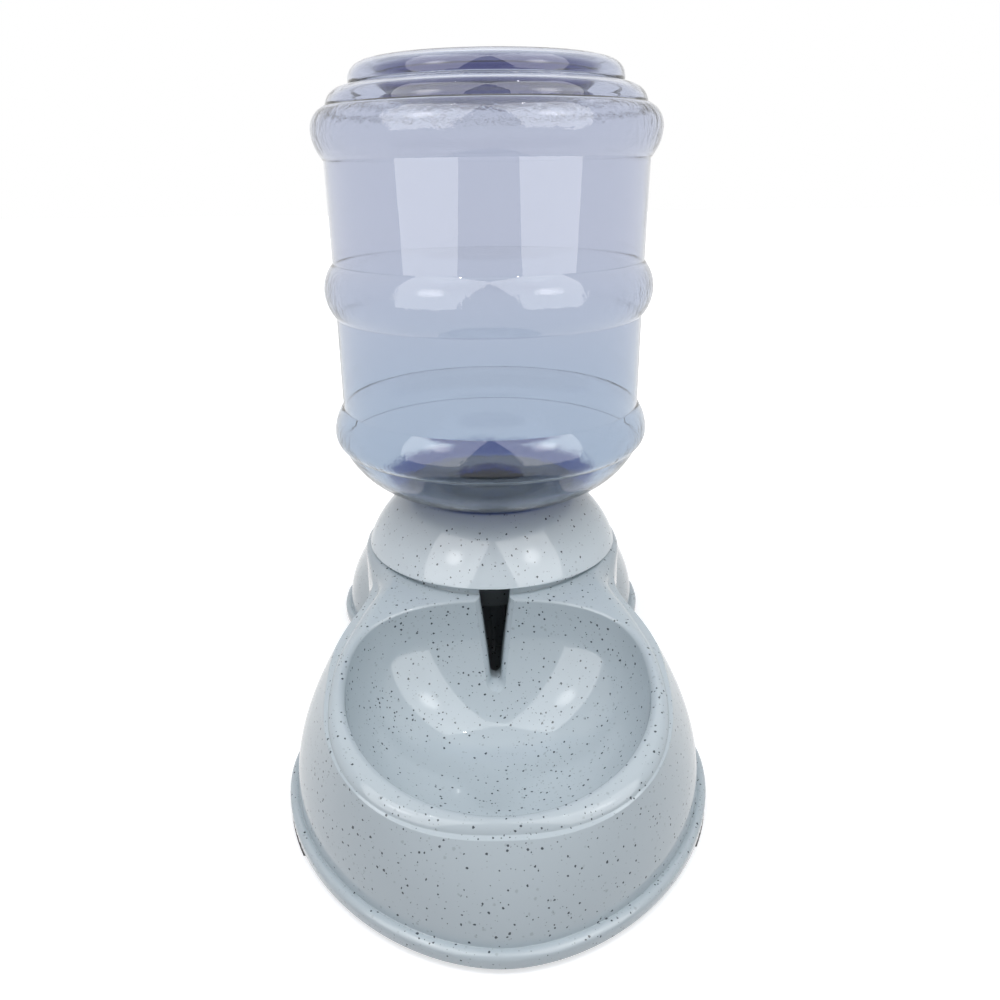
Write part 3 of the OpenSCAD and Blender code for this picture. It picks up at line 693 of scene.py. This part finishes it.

# The valve sits in the collar's outlet tube: a white plunger with a rubber ring under its disc, held
# down by a steel spring below a snap-in cage. The cage and plunger are moulded in plain white
# plastic. The spring is wound from drawn steel wire; in the real valve it shortens towards the cage as the
# plunger rises, and here it keeps its modelled length.
white_plastic, tree, shader, add = new_finish("white_plastic")
place = add("ShaderNodeTexCoord")
grain = add("ShaderNodeTexNoise", [("Vector", place.outputs["Object"])])
grain.inputs["Scale"].default_value = 500
shade = add("ShaderNodeMix", [(0, grain.outputs["Fac"])], data_type="RGBA")
shade.inputs[6].default_value = (0.74, 0.75, 0.77, 1)
shade.inputs[7].default_value = (0.82, 0.83, 0.84, 1)
tree.links.new(shade.outputs[2], shader.inputs["Base Color"])
shader.inputs["Roughness"].default_value = 0.42
bump = add("ShaderNodeBump", [("Height", grain.outputs["Fac"])])
bump.inputs["Strength"].default_value = 0.1
bump.inputs["Distance"].default_value = 0.0002
tree.links.new(bump.outputs[0], shader.inputs["Normal"])

spring_steel, tree, shader, add = new_finish("spring_steel")
place = add("ShaderNodeTexCoord")
drawn = add("ShaderNodeTexNoise", [("Vector", place.outputs["Object"])])
drawn.inputs["Scale"].default_value = 1800
shader.inputs["Base Color"].default_value = (0.56, 0.56, 0.58, 1)
shader.inputs["Metallic"].default_value = 1.0
rough = add("ShaderNodeMapRange", [(0, drawn.outputs["Fac"])], in_3=0.22, in_4=0.4)
tree.links.new(rough.outputs[0], shader.inputs["Roughness"])

for name, finish in (
    ("valve_cage", white_plastic),
    ("valve_stem", white_plastic),
    ("valve_seal", black_rubber),
    ("valve_spring", spring_steel),
):
    nodes[name].data.materials.clear()
    nodes[name].data.materials.append(finish)

spring = bpy.data.objects.new("coil_spring", nodes["valve_spring"].data.copy())
bpy.context.scene.collection.objects.link(spring)
smooth_faces(spring, 60)
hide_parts("valve_spring")
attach(spring, "root")
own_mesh(spring)

# A soft pale washer lies on the floor of the socket and seals the neck's mouth. It is stamped from
# silicone sheet and is pinched when the bottle is screwed in.
nodes["neck_washer"].data.materials.clear()
washer_silicone = grained_rubber("washer_silicone", (0.68, 0.68, 0.65), (0.78, 0.78, 0.75))
nodes["neck_washer"].data.materials.append(washer_silicone)

# The bottle is blown from clear PET with a blue tint, and stands neck down in the collar. The grey in its
# body colour is a painted reflection of a grey room seen in and through it, bluer low down and lighter higher
# up.
# Its wall is thin in the panels and uneven in the ribs. Round the neck and in the dished base it is
# several times thicker, and looks navy.
PANEL_R, RIB_OUT, BOTTLE_H, SHOULDER_ARC = 77.0, 5.0, 205.0, 43.4
RIB_R = PANEL_R + RIB_OUT
TOP_Z = SHOULDER_Z + BOTTLE_H
LOW_RIB, MID_RIB, TOP_RIB, RIB_HALF = 33.0, 105.0, 28.0, 13.0
NECK_R, NECK_BORE = 20.8, 17.5
CAP_R, STEP_R, LIP_R = 7.0, 8.4, 4.0
STEP_X, STEP_Z, CAP_X = RIB_R - 15.4, TOP_Z - 18.6, RIB_R - 25
LIP_X = CAP_X - 3
RECESS_R = LIP_X - 8
CREASE_Z = SHOULDER_Z + LOW_RIB - 6.5
CREASE_A = math.degrees(math.asin((SHOULDER_Z + SHOULDER_ARC - CREASE_Z) / SHOULDER_ARC))


def arc(cx, cz, r, a0, a1, n):
    turns = [math.radians(a) for a in steps(a0, a1, n)]
    return [(cx + r * math.cos(a), cz + r * math.sin(a)) for a in turns]


def half_rib(crown, z, depth, rise, up, n=14):
    r = (rise * rise + depth * depth) / (2 * depth)
    sweep = math.asin(rise / r)
    return [(crown - r + r * math.cos(a), z + up * r * math.sin(a)) for a in steps(0, sweep, n)]


outside = (
    arc(RIB_R - SHOULDER_ARC, SHOULDER_Z + SHOULDER_ARC, SHOULDER_ARC, -90, -CREASE_A, 30)
    + half_rib(RIB_R, SHOULDER_Z + LOW_RIB, 3.2, 6.5, -1)[::-1]
    + half_rib(RIB_R, SHOULDER_Z + LOW_RIB, RIB_OUT, RIB_HALF + 1, 1)[1:]
    + half_rib(RIB_R, SHOULDER_Z + MID_RIB, RIB_OUT, RIB_HALF, -1)[::-1]
    + half_rib(RIB_R, SHOULDER_Z + MID_RIB, RIB_OUT, RIB_HALF, 1)[1:]
    + half_rib(RIB_R + 0.5, TOP_Z - TOP_RIB, RIB_OUT, RIB_HALF, -1)[::-1]
    + half_rib(RIB_R + 0.5, TOP_Z - TOP_RIB, 5.5, 9.4, 1)[1:]
    + arc(STEP_X, STEP_Z, STEP_R, 0, 90, 14)
    + arc(CAP_X, TOP_Z - CAP_R, CAP_R, -15, 90, 18)
    + arc(LIP_X, TOP_Z - LIP_R, LIP_R, 90, 180, 10)
    + [(RECESS_R * k, TOP_Z - 15 + 6 * k * k) for k in steps(1, 0, 24)]
)


def wall_thickness(r, z):
    """In millimetres: thin in the ribs and panels, thick towards the neck and the base."""
    neck = max(0.0, 1 - (z - SHOULDER_Z) / 26)
    crown = max(0.0, 1 - max(0.0, (STEP_Z + 6 - z)) / 12) if z > STEP_Z - 6 else 0.0
    return 1.0 + 0.5 * neck**1.6 + 0.3 * crown


def inner_side(profile):
    """The profile moved in by the wall's thickness along its normals."""
    made = []
    for i, (r, z) in enumerate(profile):
        r0, z0 = profile[max(i - 1, 0)]
        r1, z1 = profile[min(i + 1, len(profile) - 1)]
        length = math.hypot(r1 - r0, z1 - z0) or 1
        t = wall_thickness(r, z)
        made.append((max(0.0, r - t * (z1 - z0) / length), z + t * (r1 - r0) / length))
    return made


kept = [p for i, p in enumerate(outside) if i == 0 or math.dist(p, outside[i - 1]) > 0.05]
inside = inner_side(kept)
inside[-1] = (0.0, inside[-1][1])
bottle = turned(
    "bottle_blown",
    [(NECK_BORE, MOUTH_Z + 0.4), (NECK_BORE + 0.4, MOUTH_Z), (NECK_R - 0.4, MOUTH_Z), (NECK_R, MOUTH_Z + 0.4)]
    + arc(NECK_R + 3, SHOULDER_Z - 3, 3, 180, 90, 8)
    + kept
    + inside[::-1]
    + [(NECK_BORE + 2.5, SHOULDER_Z + 3.0), (NECK_BORE + 0.6, SHOULDER_Z + 1.6), (NECK_BORE, SHOULDER_Z - 1)],
    n=256,
)
smooth_faces(bottle, 24)

tinted_pet, tree, shader, add = new_finish("tinted_pet")
shader.inputs["Transmission Weight"].default_value = 1.0
shader.inputs["IOR"].default_value = 1.5
place = add("ShaderNodeTexCoord")
height = add("ShaderNodeSeparateXYZ", [(0, place.outputs["Object"])])
flat = add("ShaderNodeMapping", [("Vector", place.outputs["Object"])])
flat.inputs["Location"].default_value = (0, -AXIS_Y, 0)
flat.inputs["Scale"].default_value = (1, 1, 0)
radius = add("ShaderNodeVectorMath", [(0, flat.outputs[0])], operation="LENGTH")
mottle = add("ShaderNodeTexNoise", [("Vector", place.outputs["Object"])])
mottle.inputs["Scale"].default_value = 140
mottle.inputs["Detail"].default_value = 5
uneven = add("ShaderNodeMath", [(0, mottle.outputs["Fac"]), (2, radius.outputs["Value"])], in_1=0.010)
uneven.operation = "MULTIPLY_ADD"


def fade_over(source, start, end, interpolation="LINEAR"):
    """A fade from 0 to 1 while the source goes from start to end, in millimetres."""
    made = add("ShaderNodeMapRange", [(0, source)], in_1=start / 1000, in_2=end / 1000)
    made.interpolation_type = interpolation
    return made


near_neck = fade_over(uneven.outputs[0], 65.5, 57.5, "SMOOTHSTEP")
low_down = fade_over(height.outputs["Z"], SHOULDER_Z + 14, SHOULDER_Z + 9)
near_middle = fade_over(radius.outputs["Value"], 55.0, 49.0, "SMOOTHSTEP")
high_up = fade_over(height.outputs["Z"], TOP_Z - 22, TOP_Z - 17)
thick_neck = add("ShaderNodeMath", [(0, near_neck.outputs[0]), (1, low_down.outputs[0])])
thick_neck.operation = "MULTIPLY"
thick_base = add("ShaderNodeMath", [(0, near_middle.outputs[0]), (1, high_up.outputs[0])])
thick_base.operation = "MULTIPLY"
upward = fade_over(height.outputs["Z"], SHOULDER_Z + 30, SHOULDER_Z + 125)
# Painted reflection: the grey in this body colour stands for a grey room seen through the clear bottle; bluer
# low down, lighter higher up.
tint_with_painted_room_grey = add("ShaderNodeMix", [(0, upward.outputs[0])], data_type="RGBA")
tint_with_painted_room_grey.inputs[6].default_value = (0.59, 0.665, 0.76, 1)
tint_with_painted_room_grey.inputs[7].default_value = (0.67, 0.70, 0.79, 1)
depth_tint = add("ShaderNodeMix", [(0, thick_neck.outputs[0]), (6, tint_with_painted_room_grey.outputs[2])], data_type="RGBA")
depth_tint.inputs[7].default_value = (0.02, 0.05, 0.24, 1)
base_tint = add("ShaderNodeMix", [(0, thick_base.outputs[0]), (6, depth_tint.outputs[2])], data_type="RGBA")
base_tint.inputs[7].default_value = (0.012, 0.016, 0.16, 1)
tree.links.new(base_tint.outputs[2], shader.inputs["Base Color"])
thickest = add("ShaderNodeMath", [(0, thick_neck.outputs[0]), (1, thick_base.outputs[0])])
thickest.operation = "MAXIMUM"
gloss_left = add("ShaderNodeMapRange", [(0, thickest.outputs[0])], in_3=0.5, in_4=0.12)
tree.links.new(gloss_left.outputs[0], shader.inputs["Specular IOR Level"])
haze = add("ShaderNodeTexNoise", [("Vector", place.outputs["Object"])])
haze.inputs["Scale"].default_value = 35
haze.inputs["Detail"].default_value = 6
cloudy = add("ShaderNodeMapRange", [(0, haze.outputs["Fac"])], in_3=0.005, in_4=0.05)
tree.links.new(cloudy.outputs[0], shader.inputs["Roughness"])
stretch = add("ShaderNodeMapping", [("Vector", place.outputs["Object"])])
stretch.inputs["Scale"].default_value = (42, 42, 11)
ripple = add("ShaderNodeTexNoise", [("Vector", stretch.outputs[0])])
ripple.inputs["Scale"].default_value = 1.0
ripple.inputs["Detail"].default_value = 2
waves = add("ShaderNodeBump", [("Height", ripple.outputs["Fac"])])
waves.inputs["Strength"].default_value = 0.10
waves.inputs["Distance"].default_value = 0.001
along = fade_over(height.outputs["Z"], SHOULDER_Z, TOP_Z)
ribs = add("ShaderNodeValToRGB", [(0, along.outputs[0])])
ribs.color_ramp.elements[0].position = 0.0
ribs.color_ramp.elements[0].color = (0.5, 0.5, 0.5, 1)
ribs.color_ramp.elements[1].position = 1.0
ribs.color_ramp.elements[1].color = (0.15, 0.15, 0.15, 1)
PANEL_FROST = 0.04
for middle, half, amount in (
    (LOW_RIB / BOTTLE_H, 0.055, 0.7),
    (MID_RIB / BOTTLE_H, 0.055, 0.8),
    (1 - TOP_RIB / BOTTLE_H, 0.05, 1.0),
):
    stops = ((-half, PANEL_FROST), (-half * 0.5, amount), (half * 0.5, amount), (half, PANEL_FROST))
    for offset, value in stops:
        stop = ribs.color_ramp.elements.new(middle + offset)
        stop.color = (value, value, value, 1)
frost = add("ShaderNodeTexNoise", [("Vector", place.outputs["Object"])])
frost.inputs["Scale"].default_value = 210
frost.inputs["Detail"].default_value = 4
frosted = add("ShaderNodeMath", [(0, frost.outputs["Fac"]), (1, ribs.outputs["Color"])], operation="MULTIPLY")
crinkle = add("ShaderNodeBump", [("Height", frosted.outputs[0]), ("Normal", waves.outputs[0])])
crinkle.inputs["Strength"].default_value = 0.3
crinkle.inputs["Distance"].default_value = 0.0008
tree.links.new(crinkle.outputs[0], shader.inputs["Normal"])
bottle.data.materials.append(tinted_pet)
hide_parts("bottle")
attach(bottle, "bottle")

# The neck's screw thread is one raised ridge of a turn and a half, blown in one piece with the neck
# and tapered at both ends. A spiral carries the ridge's round section.
thread_mesh = bpy.data.meshes.new("neck_thread")
thread = bpy.data.objects.new("neck_thread", thread_mesh)
bpy.context.scene.collection.objects.link(thread)
ridge_tree = bpy.data.node_groups.new("thread_ridge", "GeometryNodeTree")
ridge_tree.interface.new_socket("Geometry", in_out="OUTPUT", socket_type="NodeSocketGeometry")
for label, value in (("Radius", 0.0205), ("Pitch", 0.005), ("Turns", 1.5), ("Ridge", 0.0011)):
    socket = ridge_tree.interface.new_socket(label, in_out="INPUT", socket_type="NodeSocketFloat")
    socket.default_value = value
sizes = ridge_tree.nodes.new("NodeGroupInput")
out = ridge_tree.nodes.new("NodeGroupOutput")
spiral = ridge_tree.nodes.new("GeometryNodeCurveSpiral")
spiral.inputs["Resolution"].default_value = 64
rise = ridge_tree.nodes.new("ShaderNodeMath")
rise.operation = "MULTIPLY"
ridge_tree.links.new(sizes.outputs["Pitch"], rise.inputs[0])
ridge_tree.links.new(sizes.outputs["Turns"], rise.inputs[1])
ridge_tree.links.new(sizes.outputs["Turns"], spiral.inputs["Rotations"])
ridge_tree.links.new(sizes.outputs["Radius"], spiral.inputs["Start Radius"])
ridge_tree.links.new(sizes.outputs["Radius"], spiral.inputs["End Radius"])
ridge_tree.links.new(rise.outputs[0], spiral.inputs["Height"])
ring = ridge_tree.nodes.new("GeometryNodeCurvePrimitiveCircle")
ring.inputs["Resolution"].default_value = 12
ridge_tree.links.new(sizes.outputs["Ridge"], ring.inputs["Radius"])
along = ridge_tree.nodes.new("GeometryNodeSplineParameter")
taper = ridge_tree.nodes.new("ShaderNodeFloatCurve")
taper.mapping.curves[0].points[0].location = (0, 0.15)
taper.mapping.curves[0].points[1].location = (1, 0.15)
taper.mapping.curves[0].points.new(0.08, 1.0)
taper.mapping.curves[0].points.new(0.92, 1.0)
ridge_tree.links.new(along.outputs["Factor"], taper.inputs["Value"])
tube = ridge_tree.nodes.new("GeometryNodeCurveToMesh")
tube.inputs["Fill Caps"].default_value = True
ridge_tree.links.new(spiral.outputs[0], tube.inputs["Curve"])
ridge_tree.links.new(ring.outputs[0], tube.inputs["Profile Curve"])
if "Scale" in tube.inputs:
    ridge_tree.links.new(taper.outputs[0], tube.inputs["Scale"])
put = ridge_tree.nodes.new("GeometryNodeTransform")
put.inputs["Translation"].default_value = (0, AXIS_Y, (MOUTH_Z + 4) / 1000)
real = ridge_tree.nodes.new("GeometryNodeRealizeInstances")
dress = ridge_tree.nodes.new("GeometryNodeSetMaterial")
dress.inputs["Material"].default_value = tinted_pet
ridge_tree.links.new(tube.outputs[0], put.inputs[0])
ridge_tree.links.new(put.outputs[0], real.inputs[0])
ridge_tree.links.new(real.outputs[0], dress.inputs[0])
ridge_tree.links.new(dress.outputs[0], out.inputs[0])
ridge = thread.modifiers.new("ridge", "NODES")
ridge.node_group = ridge_tree
depsgraph = bpy.context.evaluated_depsgraph_get()
thread.data = bpy.data.meshes.new_from_object(thread.evaluated_get(depsgraph))
thread.modifiers.clear()
smooth_faces(thread, 40)
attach(thread, "bottle")
